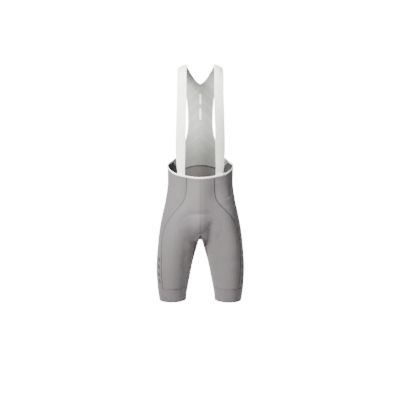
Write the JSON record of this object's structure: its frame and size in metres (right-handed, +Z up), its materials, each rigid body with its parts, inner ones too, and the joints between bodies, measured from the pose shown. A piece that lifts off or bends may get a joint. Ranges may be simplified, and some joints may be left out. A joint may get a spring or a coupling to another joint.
{
  "type": "cycling bib shorts",
  "caption": "Short-legged cycling bib shorts, worn shape, with panelled stretch body, wide hem bands, mesh back and flat shoulder straps.",
  "frame": {"origin": "middle of the shoulder line, midway between the tops of the two straps, where the wearer's shoulders carry the garment", "axes": "+Z up along the body, +X to the wearer's left, -Y out of the wearer's chest"},
  "size_m": [0.3404, 0.2293, 0.9031],
  "materials": {
    "lycra": "matte",
    "mesh": "matte",
    "elastic": "matte",
    "tape": "matte"
  },
  "bodies": {
    "root": {"front_left": "lycra", "front_right": "lycra", "side_left": "lycra", "side_right": "lycra", "seat_left": "lycra", "seat_right": "lycra", "crotch_gusset": "lycra", "hem_band_left": "lycra", "hem_band_right": "lycra", "mesh_back": "mesh", "strap_left": "elastic", "strap_right": "elastic", "waist_tape": "tape"}
  },
  "joints": []
}
